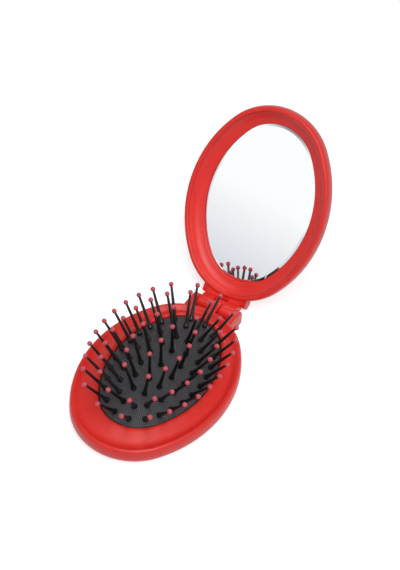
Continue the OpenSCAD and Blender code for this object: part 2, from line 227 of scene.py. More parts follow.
class BrushStage(PropertyGroup):
    azimuth: FloatProperty(
        name="Azimuth", description="How far the camera stands to the right of the front",
        default=math.radians(29.25), subtype="ANGLE")
    elevation: FloatProperty(
        name="Elevation", description="How far the camera looks down",
        default=math.radians(46.7), subtype="ANGLE")
    roll: FloatProperty(name="Roll", description="Roll of the camera", default=math.radians(2.5), subtype="ANGLE")
    distance: FloatProperty(
        name="Distance", description="Distance of the camera from the point that it looks at",
        default=0.645, unit="LENGTH")
    scale: FloatProperty(name="Picture scale", description="Pixels to a millimetre at that point", default=2.42)
    aim_right: FloatProperty(
        name="Aim right", description="Shift of the point looked at, to the right",
        default=0.00175, unit="LENGTH")
    aim_up: FloatProperty(
        name="Aim up", description="Shift of the point looked at, upwards", default=0.0077, unit="LENGTH")
    key: FloatProperty(name="Key lamp", description="Power of the key lamp at the right", default=3.1, unit="POWER")
    top: FloatProperty(name="Top lamp", description="Power of the lamp overhead", default=1.8, unit="POWER")
    sky: FloatProperty(name="Room light", description="Strength of the light from the room", default=0.25)


# ---- The oval ----


class Oval:
    """Four-centre oval whose arcs meet on lines that slope as a 3-4-5 triangle."""

    def __init__(self, body):
        self.half_l = body.length / 2
        self.half_w = body.width / 2
        gap = (self.half_l - self.half_w) / 0.4
        self.end_c = 0.6 * gap
        self.side_c = 0.8 * gap
        self.end_r = self.half_l - self.end_c
        self.side_r = self.half_w + self.side_c
        self.side_half = math.atan2(0.6, 0.8)
        self.end_half = math.pi / 2 - self.side_half

    def arcs(self):
        """Centre, angle and steps of each arc, from the front end round to it again."""
        return [
            ((0, -self.end_c, 0), self.end_half, 22),
            ((-self.side_c, 0, 0), 2 * self.side_half, 38),
            ((0, self.end_c, 0), 2 * self.end_half, 44),
            ((self.side_c, 0, 0), 2 * self.side_half, 38),
            ((0, -self.end_c, 0), self.end_half, 22),
        ]

    def inset(self, x, y):
        """How far a point lies inside the outline."""
        x, y = abs(x), abs(y)
        if (y - self.end_c) * 0.8 > x * 0.6:
            return self.end_r - math.hypot(x, y - self.end_c)
        return self.side_r - math.hypot(x + self.side_c, y)

    def end_y(self, x, inset):
        """Y of the hinge end of the oval at x, for an inset outline."""
        return self.end_c + math.sqrt((self.end_r - inset) ** 2 - x * x)

    def around(self, share, inset):
        """Centre, radius and direction at a share of the inset outline, from the front end."""
        end = 2 * self.end_half * (self.end_r - inset)
        side = 2 * self.side_half * (self.side_r - inset)
        run = share * 2 * (end + side)
        if run < end / 2:
            return (0, -self.end_c), self.end_r, -math.pi / 2 + run / (self.end_r - inset)
        run -= end / 2
        if run < side:
            return (-self.side_c, 0), self.side_r, -self.side_half + run / (self.side_r - inset)
        run -= side
        if run < end:
            return (0, self.end_c), self.end_r, self.side_half + run / (self.end_r - inset)
        run -= end
        if run < side:
            return (self.side_c, 0), self.side_r, math.pi - self.side_half + run / (self.side_r - inset)
        run -= side
        return (0, -self.end_c), self.end_r, math.pi + self.side_half + run / (self.end_r - inset)


def sweep_oval(bm, oval, profile, closed=False, fill=False):
    """Spins a profile of (inset, height) round the four arcs of the oval."""
    verts = [bm.verts.new((0, -(oval.half_l - d), z)) for d, z in profile]
    edges = [bm.edges.new(pair) for pair in zip(verts, verts[1:])]
    if closed:
        edges.append(bm.edges.new((verts[-1], verts[0])))
    geom = verts + edges
    for centre, angle, steps in oval.arcs():
        geom = bmesh.ops.spin(bm, geom=geom, cent=centre, axis=(0, 0, 1), angle=angle, steps=steps)["geom_last"]
    bmesh.ops.remove_doubles(bm, verts=bm.verts, dist=1e-6)
    if fill:
        bmesh.ops.holes_fill(bm, edges=[e for e in bm.edges if e.is_boundary], sides=0)
    bmesh.ops.recalc_face_normals(bm, faces=bm.faces)


def ease(t):
    """Smooth step from 0 to 1."""
    t = min(1, max(0, t))
    return t * t * (3 - 2 * t)


def dome_z(scene, inset):
    """Height of the cushion's skin at an inset from the outline."""
    body, soft = scene.brush_body, scene.brush_cushion
    first = soft.opening + DOME_STEP
    u = min(1, max(0, (inset - first) / (soft.flat_from - first)))
    return body.height - soft.edge_drop + soft.crown * (1 - (1 - u) ** 2)


# ---- Making pieces ----


def make_piece(name, bm, material, body, nodes=(), smooth=0, sharp=None):
    """Turns a bmesh into a finished piece that rides on a body, or on none."""
    mesh = bpy.data.meshes.new(name)
    bm.to_mesh(mesh)
    bm.free()
    mesh.polygons.foreach_set("use_smooth", [True] * len(mesh.polygons))
    if sharp:
        mesh.set_sharp_from_angle(angle=sharp)
    mesh.materials.append(material)
    piece = bpy.data.objects.new(name, mesh)
    bpy.context.scene.collection.objects.link(piece)
    if smooth:
        rounding = piece.modifiers.new("Smooth", "SUBSURF")
        rounding.levels = rounding.render_levels = smooth
    if body:
        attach(piece, body)
    if nodes:
        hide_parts(*nodes)
    return piece


def cut_away(piece, bm):
    """Cuts the shape in a bmesh out of a piece."""
    mesh = bpy.data.meshes.new("cutter")
    bm.to_mesh(mesh)
    bm.free()
    cutter = bpy.data.objects.new("cutter", mesh)
    bpy.context.scene.collection.objects.link(cutter)
    cut = piece.modifiers.new("Cut", "BOOLEAN")
    cut.operation = "DIFFERENCE"
    cut.object = cutter
    bpy.context.view_layer.update()
    solid = piece.evaluated_get(bpy.context.evaluated_depsgraph_get())
    piece.data = bpy.data.meshes.new_from_object(solid)
    piece.modifiers.remove(cut)
    bpy.data.objects.remove(cutter)
    bpy.data.meshes.remove(mesh)


def dress_node(name, material):
    """Gives a CAD node its finish."""
    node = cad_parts[name]
    if node.material_slots:
        for place in node.material_slots:
            place.material = material
    else:
        node.data.materials.append(material)


def extrude_along_x(bm, outline, x0, x1, cuts):
    """Draws an outline of (y, z) out along X, cut into lengths so that an end can follow the oval."""
    first = [bm.verts.new((x0, y, z)) for y, z in outline]
    face = bm.faces.new(first)
    out = bmesh.ops.extrude_face_region(bm, geom=[face])["geom"]
    moved = [g for g in out if isinstance(g, bmesh.types.BMVert)]
    bmesh.ops.translate(bm, verts=moved, vec=(x1 - x0, 0, 0))
    along = {e for v in first for e in v.link_edges if e.other_vert(v) in set(moved)}
    if cuts:
        bmesh.ops.subdivide_edges(bm, edges=list(along), cuts=cuts, use_grid_fill=False)


def arc(centre, radius, start, end, steps):
    """Points on an arc in the YZ plane, angles from +Y towards +Z."""
    return [
        (centre[0] + radius * math.cos(start + (end - start) * i / steps),
         centre[1] + radius * math.sin(start + (end - start) * i / steps))
        for i in range(steps + 1)
    ]


def round_edges(bm, width, keep=lambda edge: True):
    """Rounds the edges that turn by more than 30 degrees."""
    turn = math.radians(30)
    edges = [e for e in bm.edges if len(e.link_faces) == 2 and e.calc_face_angle(0) > turn and keep(e)]
    bmesh.ops.bevel(
        bm, geom=edges, offset=width, segments=2, profile=0.5, affect="EDGES", material=-1, clamp_overlap=True)


def open_lid(scene):
    """Matrix that swings what is drawn closed to the open lid."""
    hinge = Vector((0, scene.brush_body.length / 2 + scene.brush_hinge.out, scene.brush_hinge.level))
    turn = Matrix.Rotation(-scene.brush_lid.opened, 4, "X")
    return Matrix.Translation(hinge) @ turn @ Matrix.Translation(-hinge)


def put_on_lid(scene, bm):
    """Lifts what is drawn with the lid's rim at zero onto the closed base, and opens the lid."""
    lift = Matrix.Translation((0, 0, scene.brush_body.height + scene.brush_lid.rim_gap))
    bmesh.ops.transform(bm, matrix=open_lid(scene) @ lift, verts=bm.verts)


# ---- Materials ----


def add_node(tree, kind, inputs=None, **settings):
    """Adds a node, sets it, and gives its inputs a value or a link."""
    node = tree.nodes.new(kind)
    for key, value in settings.items():
        setattr(node, key, value)
    for key, value in (inputs or {}).items():
        if isinstance(value, bpy.types.NodeSocket):
            tree.links.new(value, node.inputs[key])
        else:
            node.inputs[key].default_value = value
    return node


def new_material(name):
    """An empty material, its Principled shader and its tree."""
    material = bpy.data.materials.get(name)
    if material:
        return material, None, None
    material = bpy.data.materials.new(name)
    material.use_nodes = True
    tree = material.node_tree
    return material, tree.nodes["Principled BSDF"], tree


def set_shader(shader, **values):
    """Sets the shader's own sockets, with spaces written as underscores."""
    for key, value in values.items():
        shader.inputs[key.replace("_", " ")].default_value = value


def rgba(colour, factor=1.0):
    """A linear colour, made lighter or darker by a factor, with full alpha."""
    return tuple(min(1, c * factor) for c in colour) + (1,)


def mottled(tree, shader, colour, spread, size):
    """Base colour that wanders a little, with patches of the given size in metres."""
    place = add_node(tree, "ShaderNodeTexCoord")
    cloud = add_node(tree, "ShaderNodeTexNoise", {"Vector": place.outputs["Object"], "Scale": 1 / size, "Detail": 2.0})
    ramp = add_node(tree, "ShaderNodeValToRGB", {"Fac": cloud.outputs["Fac"]})
    ramp.color_ramp.elements[0].position = 0.3
    ramp.color_ramp.elements[0].color = rgba(colour, 1 - spread)
    ramp.color_ramp.elements[1].position = 0.7
    ramp.color_ramp.elements[1].color = rgba(colour, 1 + spread)
    tree.links.new(ramp.outputs["Color"], shader.inputs["Base Color"])
    return place


def grain(tree, shader, place, size, depth, rough):
    """Fine mould texture: a bump of the given grain size and depth, and roughness that follows it."""
    noise = add_node(tree, "ShaderNodeTexNoise", {
        "Vector": place.outputs["Object"], "Scale": 1 / size, "Detail": 3.0, "Roughness": 0.6})
    bump = add_node(tree, "ShaderNodeBump", {"Height": noise.outputs["Fac"], "Strength": 0.35, "Distance": depth})
    tree.links.new(bump.outputs["Normal"], shader.inputs["Normal"])
    matt = add_node(tree, "ShaderNodeMapRange", {
        "Value": noise.outputs["Fac"], "From Min": 0.3, "From Max": 0.7,
        "To Min": rough - 0.04, "To Max": rough + 0.04})
    tree.links.new(matt.outputs["Result"], shader.inputs["Roughness"])


def seen_or_reflected(tree):
    """1 for what the camera or a reflection sees, and 0 for the light that falls on the object."""
    path = add_node(tree, "ShaderNodeLightPath")
    rays = {0: path.outputs["Is Camera Ray"], 1: path.outputs["Is Glossy Ray"]}
    return add_node(tree, "ShaderNodeMath", rays, operation="MAXIMUM").outputs[0]


def satin_red_abs():
    """Injection-moulded ABS from a lightly blasted mould: an even satin glow without sharp glints."""
    material, shader, tree = new_material("Moulded satin ABS, red")
    if tree:
        set_shader(shader, IOR=1.53)
        place = mottled(tree, shader, bpy.context.scene.brush_colours.red, 0.035, 9 * MM)
        # Blasted grain is about 0.05 mm; it is drawn at 0.4 mm so that it shows
        grain(tree, shader, place, 0.4 * MM, 0.03 * MM, 0.4)
    return material


def satin_black_abs():
    """Injection-moulded ABS of the inner pieces: dull black, as nobody sees or polishes it."""
    material, shader, tree = new_material("Moulded ABS, black")
    if tree:
        set_shader(shader, IOR=1.53)
        place = mottled(tree, shader, linear("#1B1B1D"), 0.08, 6 * MM)
        grain(tree, shader, place, 0.4 * MM, 0.03 * MM, 0.55)
    return material


def meshed_rubber():
    """Moulded rubber faced with a woven nylon mesh: dark and dull, with fine threads that catch the light."""
    material, shader, tree = new_material("Rubber faced with woven mesh")
    if tree:
        colours, soft = bpy.context.scene.brush_colours, bpy.context.scene.brush_cushion
        set_shader(shader, IOR=1.5)
        place = add_node(tree, "ShaderNodeTexCoord")
        # The real mesh is finer; its diagonal threads are drawn 0.8 mm apart so that they show
        turned = add_node(tree, "ShaderNodeMapping", {
            "Vector": place.outputs["Object"], "Rotation": (0, 0, math.radians(45)),
            "Scale": (1 / soft.thread_pitch,) * 3})
        split = add_node(tree, "ShaderNodeSeparateXYZ", {"Vector": turned.outputs["Vector"]})
        lines = {}
        for place_in, axis in enumerate(("X", "Y")):
            wave = add_node(tree, "ShaderNodeMath", {0: split.outputs[axis], 1: 0.5}, operation="PINGPONG")
            line = add_node(tree, "ShaderNodeMapRange", {
                "Value": wave.outputs[0], "From Min": 0.08, "From Max": 0.24, "To Min": 1.0, "To Max": 0.0})
            lines[place_in] = line.outputs["Result"]
        threads = add_node(tree, "ShaderNodeMath", lines, operation="MAXIMUM")
        colour = add_node(tree, "ShaderNodeValToRGB", {"Fac": threads.outputs[0]})
        colour.color_ramp.elements[0].color = rgba(colours.rubber)
        colour.color_ramp.elements[1].color = rgba(colours.thread)
        tree.links.new(colour.outputs["Color"], shader.inputs["Base Color"])
        matt = add_node(tree, "ShaderNodeMapRange", {"Value": threads.outputs[0], "To Min": 0.75, "To Max": 0.4})
        tree.links.new(matt.outputs["Result"], shader.inputs["Roughness"])
        bump = add_node(tree, "ShaderNodeBump", {"Height": threads.outputs[0], "Strength": 0.6, "Distance": 0.1 * MM})
        tree.links.new(bump.outputs["Normal"], shader.inputs["Normal"])
    return material


def smooth_nylon():
    """Moulded nylon pins: near black, with a soft waxy shine along each shaft."""
    material, shader, tree = new_material("Moulded nylon, black")
    if tree:
        set_shader(shader, IOR=1.53)
        place = mottled(tree, shader, bpy.context.scene.brush_colours.nylon, 0.15, 3 * MM)
        grain(tree, shader, place, 0.3 * MM, 0.01 * MM, 0.36)
    return material


def ball_tip_resin():
    """Dipped ball tips: a rounded drop of pink-red resin, smooth and slightly glossy."""
    material, shader, tree = new_material("Dipped resin, pink red")
    if tree:
        set_shader(shader, IOR=1.5)
        place = mottled(tree, shader, bpy.context.scene.brush_colours.tip, 0.06, 1.5 * MM)
        grain(tree, shader, place, 0.5 * MM, 0.01 * MM, 0.3)
    return material


def silvered_glass():
    """Silvered glass: a clear reflection, with a breath of haze where it has been wiped."""
    material, shader, tree = new_material("Silvered mirror glass")
    if tree:
        set_shader(shader, Base_Color=rgba(bpy.context.scene.brush_colours.silver), Metallic=1.0)
        place = add_node(tree, "ShaderNodeTexCoord")
        # Wipe marks are broad and run across the glass, about 12 mm apart
        wiped = add_node(tree, "ShaderNodeMapping", {"Vector": place.outputs["Object"], "Scale": (25, 80, 80)})
        haze = add_node(tree, "ShaderNodeTexNoise", {"Vector": wiped.outputs["Vector"], "Scale": 1.0, "Detail": 2.0})
        matt = add_node(tree, "ShaderNodeMapRange", {
            "Value": haze.outputs["Fac"], "From Min": 0.3, "From Max": 0.7, "To Min": 0.02, "To Max": 0.05})
        tree.links.new(matt.outputs["Result"], shader.inputs["Roughness"])
    return material


def drawn_steel():
    """Drawn steel wire: bright, with a fine grain."""
    material, shader, tree = new_material("Drawn steel")
    if tree:
        set_shader(shader, Metallic=1.0)
        place = mottled(tree, shader, bpy.context.scene.brush_colours.steel, 0.05, 2 * MM)
        grain(tree, shader, place, 0.2 * MM, 0.005 * MM, 0.3)
    return material


def foam_tape():
    """Double-sided foam tape: white, open and dull."""
    material, shader, tree = new_material("Foam tape")
    if tree:
        place = mottled(tree, shader, bpy.context.scene.brush_colours.tape, 0.05, 2 * MM)
        grain(tree, shader, place, 0.5 * MM, 0.1 * MM, 0.85)
    return material


# ---- Operators ----


class BRUSH_OT_base_shell(Operator):
    """Sweep the base's shell: foot, outer wall, rim bead, groove, deck and lip"""

    bl_idname = "brush.base_shell"
    bl_label = "Base shell"

    def execute(self, context):
        body, soft = context.scene.brush_body, context.scene.brush_cushion
        oval = Oval(body)
        h, rim, groove, wall = body.height, body.rim, body.groove, body.wall
        under = h - body.deck
        low = h - groove - body.deck
        lip = soft.opening
        valley = rim + body.valley
        profile = [
            # Foot and outer wall
            (3 * MM + wall, 0.3 * MM), (4.5 * MM, 0.02 * MM), (3.6 * MM, 0.02 * MM), (2.3 * MM, 0.5 * MM),
            (1.1 * MM, 1.5 * MM), (0.3 * MM, 2.9 * MM), (0, h / 2), (0.08 * MM, h - 2.3 * MM), (0.3 * MM, h - 1.1 * MM),
            # Rim bead
            (0.65 * MM, h - 0.35 * MM), (1.1 * MM, h - 0.04 * MM), (1.6 * MM, h), (2.1 * MM, h - 0.14 * groove),
            # Groove
            (rim + 0.35 * MM, h - 0.62 * groove), (valley - 1.5 * MM, h - 0.95 * groove),
            (valley - 0.7 * MM, h - 1.02 * groove), (valley + 0.1 * MM, h - 0.92 * groove),
            # Deck and lip
            (valley + 1.0 * MM, h - 0.66 * groove), (valley + 2.1 * MM, h - 0.34 * groove),
            (valley + 3.2 * MM, h - 0.1 * groove), (lip - 1.3 * MM, h + 0.02 * MM), (lip - 0.6 * MM, h - 0.02 * MM),
            (lip - 0.12 * MM, h - 0.2 * MM), (lip, h - 0.6 * MM), (lip, under + 0.15 * MM),
            # Inside, back down to the foot
            (lip - 0.3 * MM, under), (lip - 1.5 * MM, under), (valley + 1.2 * MM, under - 0.1 * MM), (valley, low),
            (rim + 0.4 * MM, low), (wall + 0.2 * MM, low + 0.1 * MM), (wall, h / 2),
            (wall + 0.9 * MM, body.back + 0.5 * MM), (wall + 1.8 * MM, body.back), (3 * MM + wall, body.back),
        ]
        bm = bmesh.new()
        sweep_oval(bm, oval, profile, closed=True)
        # The lip belongs to the cushion's oval, which lies nearer the hinge, so the deck leans over to it
        for vert in bm.verts:
            depth = oval.inset(vert.co.x, vert.co.y)
            vert.co.y += soft.shift * ease((depth - rim) / (lip - rim))
        bmesh.ops.recalc_face_normals(bm, faces=bm.faces)
        make_piece("base_dish", bm, satin_red_abs(), "base", ["base_shell"], smooth=1)
        return {"FINISHED"}


class BRUSH_OT_hinge_bracket(Operator):
    """Make the base's hinge bracket: middle post, two ears and the tongue under the knuckles"""

    bl_idname = "brush.hinge_bracket"
    bl_label = "Hinge bracket"

    def execute(self, context):
        scene = context.scene
        body, hinge = scene.brush_body, scene.brush_hinge
        oval = Oval(body)
        y = oval.half_l + hinge.out
        z, r = hinge.level, hinge.barrel
        ear_x = hinge.post + hinge.knuckle + 2 * hinge.gap
        half = ear_x + hinge.ear
        outline = [(0, hinge.tongue * 0.5), (y + r, hinge.tongue * 0.5), (y + r, z)]
        outline += arc((y, z), r, 0, math.pi / 2, 10)[1:] + [(0, z + r)]
        bm = bmesh.new()
        for x0, x1 in ((-hinge.post, hinge.post), (ear_x, half), (-half, -ear_x)):
            extrude_along_x(bm, outline, x0, x1, 4)
        extrude_along_x(bm, [(0, 0), (y + r, 0), (y + r, hinge.tongue), (0, hinge.tongue)], -half, half, 14)
        for vert in bm.verts:
            if vert.co.y < MM:
                low = vert.co.z <= hinge.tongue + 1e-6
                vert.co.y = oval.end_y(vert.co.x, 3.4 * MM if low else 1.2 * MM)
        bmesh.ops.recalc_face_normals(bm, faces=bm.faces)
        round_edges(bm, hinge.edge, keep=lambda e: min(v.co.y for v in e.verts) > oval.half_l - 0.2 * MM)
        bracket = make_piece(
            "hinge_bracket", bm, satin_red_abs(), "base", ["base_shell"], sharp=math.radians(35))
        # The pin goes in from the left, where its end lies in an open bore
        drill = bmesh.new()
        bmesh.ops.create_cone(drill, cap_ends=True, segments=32, radius1=hinge.pin, radius2=hinge.pin, depth=3 * MM,
                              matrix=Matrix.Translation((-half, y, z)) @ Matrix.Rotation(math.pi / 2, 4, "Y"))
        cut_away(bracket, drill)
        return {"FINISHED"}


class BRUSH_OT_cushion(Operator):
    """Sweep the domed rubber cushion with its flange and face it with mesh"""

    bl_idname = "brush.cushion"
    bl_label = "Cushion"

    def execute(self, context):
        scene = context.scene
        body, soft = scene.brush_body, scene.brush_cushion
        oval = Oval(body)
        under = body.height - body.deck - 0.05 * MM
        floor = body.height - body.deck - soft.skin
        first = soft.opening + DOME_STEP
        steps = [first + (soft.flat_from - first) * i / 12 for i in range(13)]
        seat = soft.opening - soft.flange
        over = [(d, dome_z(scene, d)) for d in steps]
        inside = [(d, z - soft.skin) for d, z in reversed(over[2:])]
        profile = inside + [(first + soft.skin, floor), (seat, floor), (seat, under), (first, under)]
        edge = over[0][1]
        profile += [(first, under + 0.5 * MM), (first + 0.02 * MM, edge - 0.15 * MM), (first + 0.2 * MM, edge + 0.05 * MM)]
        profile += over[1:]
        bm = bmesh.new()
        sweep_oval(bm, oval, profile, fill=True)
        bmesh.ops.translate(bm, verts=bm.verts, vec=(0, soft.shift, 0))
        piece = make_piece("cushion_skin", bm, meshed_rubber(), None, ["cushion"], smooth=1)
        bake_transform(piece)
        return {"FINISHED"}


def pin_places(scene):
    """Foot, direction and lean of each pin, by body."""
    oval, pins, soft = Oval(scene.brush_body), scene.brush_pins, scene.brush_cushion
    outer = soft.opening + pins.outer_inset
    inner = oval.end_r - pins.inner_end
    second = (outer + inner) / 2
    middle = (outer + second) / 2

    def row(count, inset, along, lean, numbers):
        places = []
        for i in numbers:
            centre, radius, turn = oval.around((i + 0.5) / count, along)
            foot = Vector((centre[0] + (radius - inset) * math.cos(turn),
                           centre[1] + (radius - inset) * math.sin(turn) + soft.shift, dome_z(scene, inset)))
            places.append((foot, turn, lean))
        return places

    # Outer pins of each bank: the front end, up the right side, the hinge end, down the left
    bodies = {}
    start = -1
    for k, count in enumerate((2, 3, 2, 3, 3, 2, 3, 3, 2, 3)):
        bodies[k + 1] = row(pins.outer_count, outer, middle, pins.outer_lean, range(start, start + count))
        bodies[k + 1] += row(pins.second_count, second, middle, pins.second_lean, range(2 * k - 1, 2 * k + 1))
        start += count
    core = row(pins.inner_count, inner, inner, pins.inner_lean, range(pins.inner_count))
    for i in range(pins.centre_count):
        y = (i - (pins.centre_count - 1) / 2) * pins.centre_step + soft.shift
        core.append((Vector((0, y, dome_z(scene, soft.flat_from))), 0.0, 0.0))
    bodies[0] = core
    return bodies


def spun_mesh(name, profile, steps):
    """A closed turned shape from a profile of (radius, height) that starts and ends on the axis."""
    bm = bmesh.new()
    verts = [bm.verts.new((r, 0, z)) for r, z in profile]
    edges = [bm.edges.new(pair) for pair in zip(verts, verts[1:])]
    bmesh.ops.spin(bm, geom=verts + edges, cent=(0, 0, 0), axis=(0, 0, 1), angle=math.tau, steps=steps, use_merge=True)
    bmesh.ops.remove_doubles(bm, verts=bm.verts, dist=1e-7)
    bmesh.ops.recalc_face_normals(bm, faces=bm.faces)
    mesh = bpy.data.meshes.new(name)
    bm.to_mesh(mesh)
    bm.free()
    return mesh


def stand_copies(mesh, places):
    """One bmesh with a copy of the mesh on each place, along the pin's own axis."""
    bm = bmesh.new()
    for foot, turn, lean in places:
        known = set(bm.verts)
        bm.from_mesh(mesh)
        fresh = [v for v in bm.verts if v not in known]
        matrix = Matrix.Translation(foot) @ Matrix.Rotation(turn, 4, "Z") @ Matrix.Rotation(lean, 4, "Y")
        bmesh.ops.transform(bm, matrix=matrix, verts=fresh)
    return bm


def stand_on_bodies(scene, mesh, material, kind, nodes, sharp):
    """Stands the mesh on every pin's place, as one piece for the inner pins and one for each bank."""
    for k, places in pin_places(scene).items():
        name, body, node = ("bank_%d" % k, "pin_bank_%d" % k, "bank_%d" % k) if k else ("inner", "plunger", "core")
        bm = stand_copies(mesh, places)
        make_piece(name + "_" + kind, bm, material, body, [node + "_" + nodes], sharp=sharp)
    bpy.data.meshes.remove(mesh)


class BRUSH_OT_pins(Operator):
    """Turn the tapered nylon pins and stand them on the cushion"""

    bl_idname = "brush.pins"
    bl_label = "Pins"

    def execute(self, context):
        scene = context.scene
        pins = scene.brush_pins
        head, foot, collar, end = pins.head, pins.foot, pins.collar, pins.end
        top = pins.length - pins.tip - TIP_SEAT
        profile = [
            # Head under the rubber, and the neck that goes through it
            (0, -2.9 * MM), (head - 0.1 * MM, -2.9 * MM), (head, -2.8 * MM), (head, -2.2 * MM),
            (head - 0.1 * MM, -2.1 * MM), (foot, -2.1 * MM), (foot, 0.12 * MM),
            # Collar
            (collar - 0.12 * MM, 0.3 * MM), (collar, 0.6 * MM), (collar - 0.06 * MM, 0.9 * MM),
            (collar - 0.28 * MM, 1.5 * MM), (foot + 0.03 * MM, 2.4 * MM),
            # Tapered shaft
            (foot * 0.5 + end * 0.5, (top + 2.4 * MM) / 2), (end, top), (0, top),
        ]
        stand_on_bodies(scene, spun_mesh("pin", profile, 14), smooth_nylon(), "nylon", "pins", math.radians(50))
        return {"FINISHED"}


class BRUSH_OT_tips(Operator):
    """Make the ball tips and seat them on the pins"""

    bl_idname = "brush.tips"
    bl_label = "Ball tips"

    def execute(self, context):
        scene = context.scene
        pins = scene.brush_pins
        middle = pins.length - pins.tip
        base = -math.asin(TIP_SEAT / pins.tip)
        rounds = [(pins.tip * math.cos(a), middle + pins.tip * math.sin(a))
                  for a in [base + (math.pi / 2 - base) * i / 8 for i in range(8)]]
        mesh = spun_mesh("tip", [(0, rounds[0][1])] + rounds + [(0, pins.length)], 16)
        stand_on_bodies(scene, mesh, ball_tip_resin(), "balls", "tips", math.radians(60))
        return {"FINISHED"}


class BRUSH_OT_lid_shell(Operator):
    """Sweep the lid's shell: rim bead, wall and back"""

    bl_idname = "brush.lid_shell"
    bl_label = "Lid shell"

    def execute(self, context):
        scene = context.scene
        body, lid = scene.brush_body, scene.brush_lid
        rim, wall, h = body.rim, body.wall, lid.height
        profile = [
            # Inside of the back and of the wall
            (14 * MM, h - wall), (wall + 4.5 * MM, h - wall), (wall + 2.8 * MM, h - wall),
            (wall + 1.2 * MM, h - wall - 0.7 * MM), (wall + 0.3 * MM, h - wall - 1.8 * MM),
            (wall, 4.3 * MM), (wall + 0.05 * MM, 2.6 * MM), (rim - 0.3 * MM, 2.0 * MM),
            # Rim bead
            (rim - 0.14 * MM, 1.3 * MM), (rim - 0.14 * MM, 0.8 * MM), (rim - 0.2 * MM, 0.45 * MM),
            (rim - 0.42 * MM, 0.18 * MM), (rim / 2 + 0.3 * MM, 0), (rim / 2 - 0.3 * MM, 0),
            (0.65 * MM, 0.2 * MM), (0.32 * MM, 0.85 * MM),
            # Outside of the wall and of the back
            (0.03 * MM, 2.4 * MM), (0, 4.3 * MM), (0.3 * MM, h - 3.3 * MM), (1.1 * MM, h - 1.7 * MM),
            (2.3 * MM, h - 0.6 * MM), (4 * MM, h - 0.08 * MM), (6.5 * MM, h), (14 * MM, h),
        ]
        bm = bmesh.new()
        sweep_oval(bm, Oval(body), profile, fill=True)
        put_on_lid(scene, bm)
        make_piece("lid_cup", bm, satin_red_abs(), "lid", ["lid_shell"], smooth=1)
        return {"FINISHED"}


class BRUSH_OT_lid_knuckles(Operator):
    """Make the lid's two knuckles and the block that joins them"""

    bl_idname = "brush.lid_knuckles"
    bl_label = "Lid knuckles"

    def execute(self, context):
        scene = context.scene
        body, lid, hinge = scene.brush_body, scene.brush_lid, scene.brush_hinge
        oval = Oval(body)
        end = oval.half_l
        y, z, r = end + hinge.out, hinge.level, hinge.barrel
        rise = body.height + lid.rim_gap
        lean = lid.opened - math.pi / 2
        start = (y + r * math.cos(lean), z + r * math.sin(lean))
        far = (start[0] - hinge.arm * math.sin(lean), start[1] + hinge.arm * math.cos(lean))
        knuckle = arc((y, z), r, math.pi, math.tau + lean, 22)
        knuckle += [far, (0, rise + 5.6 * MM), (0, rise + 0.8 * MM), (end + 0.6 * MM, rise + 0.4 * MM)]
        block = [
            (0, rise + 0.8 * MM), (end + 0.9 * MM, rise + 0.6 * MM), (end + 1.8 * MM, rise + 2.4 * MM),
            far, (end, rise + 6.2 * MM), (0, rise + 5.8 * MM),
        ]
        # A web between the arms reaches down to the post, so that no light falls through above it
        reach = hinge.arm - 3 * MM
        heel = (start[0] - reach * math.sin(lean), start[1] + reach * math.cos(lean))
        web = arc((y, z), r + 0.9 * MM, math.radians(108), math.radians(78), 6)
        web += [heel, (end + 0.6 * MM, rise + 2.6 * MM)]
        near = hinge.post + hinge.gap
        wide = near + hinge.knuckle + 2.2 * MM
        bm = bmesh.new()
        extrude_along_x(bm, knuckle, near, near + hinge.knuckle, 4)
        extrude_along_x(bm, knuckle, -near - hinge.knuckle, -near, 4)
        extrude_along_x(bm, web, -near - 0.5 * MM, near + 0.5 * MM, 2)
        extrude_along_x(bm, block, -wide, wide, 14)
        for vert in bm.verts:
            if vert.co.y < MM:
                vert.co.y = oval.end_y(vert.co.x, 1.0 * MM)
        bmesh.ops.recalc_face_normals(bm, faces=bm.faces)
        round_edges(bm, hinge.edge, keep=lambda e: min(v.co.y for v in e.verts) > end - 0.2 * MM)
        bmesh.ops.transform(bm, matrix=open_lid(scene), verts=bm.verts)
        make_piece("lid_knuckles", bm, satin_red_abs(), "lid", ["lid_shell"], sharp=math.radians(35))
        return {"FINISHED"}


class BRUSH_OT_mirror_frame(Operator):
    """Sweep the hollow ring between the lid's rim and the mirror"""

    bl_idname = "brush.mirror_frame"
    bl_label = "Mirror frame"

    def execute(self, context):
        scene = context.scene
        body, lid = scene.brush_body, scene.brush_lid
        rim, inset, depth = body.rim, lid.mirror_inset, lid.mirror_depth
        profile = [
            # Lip in front of the glass
            (inset, depth + 0.28 * MM), (inset, depth - 0.1 * MM), (inset - 0.04 * MM, depth - 0.25 * MM),
            (inset - 0.25 * MM, depth - 0.38 * MM), (inset - 1.0 * MM, depth - 0.62 * MM),
            # Hollow that rises to the rim bead
            (rim + 2.9 * MM, 4.5 * MM), (rim + 1.7 * MM, 3.8 * MM), (rim + 0.9 * MM, 3.0 * MM),
            (rim + 0.42 * MM, 2.1 * MM), (rim + 0.16 * MM, 1.3 * MM), (rim + 0.02 * MM, 0.9 * MM),
            # Back of the ring
            (rim - 0.06 * MM, 0.86 * MM), (rim - 0.09 * MM, 1.0 * MM), (rim - 0.08 * MM, 1.6 * MM),
            (rim, 2.5 * MM), (rim + 0.3 * MM, 3.4 * MM), (rim + 1.1 * MM, 4.5 * MM),
            (rim + 2.5 * MM, depth - 0.2 * MM), (inset - 1.4 * MM, depth + 0.2 * MM), (inset - 0.1 * MM, depth + 0.3 * MM),
        ]
        bm = bmesh.new()
        sweep_oval(bm, Oval(body), profile, closed=True)
        put_on_lid(scene, bm)
        make_piece("mirror_surround", bm, satin_red_abs(), "lid", ["mirror_frame"], smooth=1)
        return {"FINISHED"}


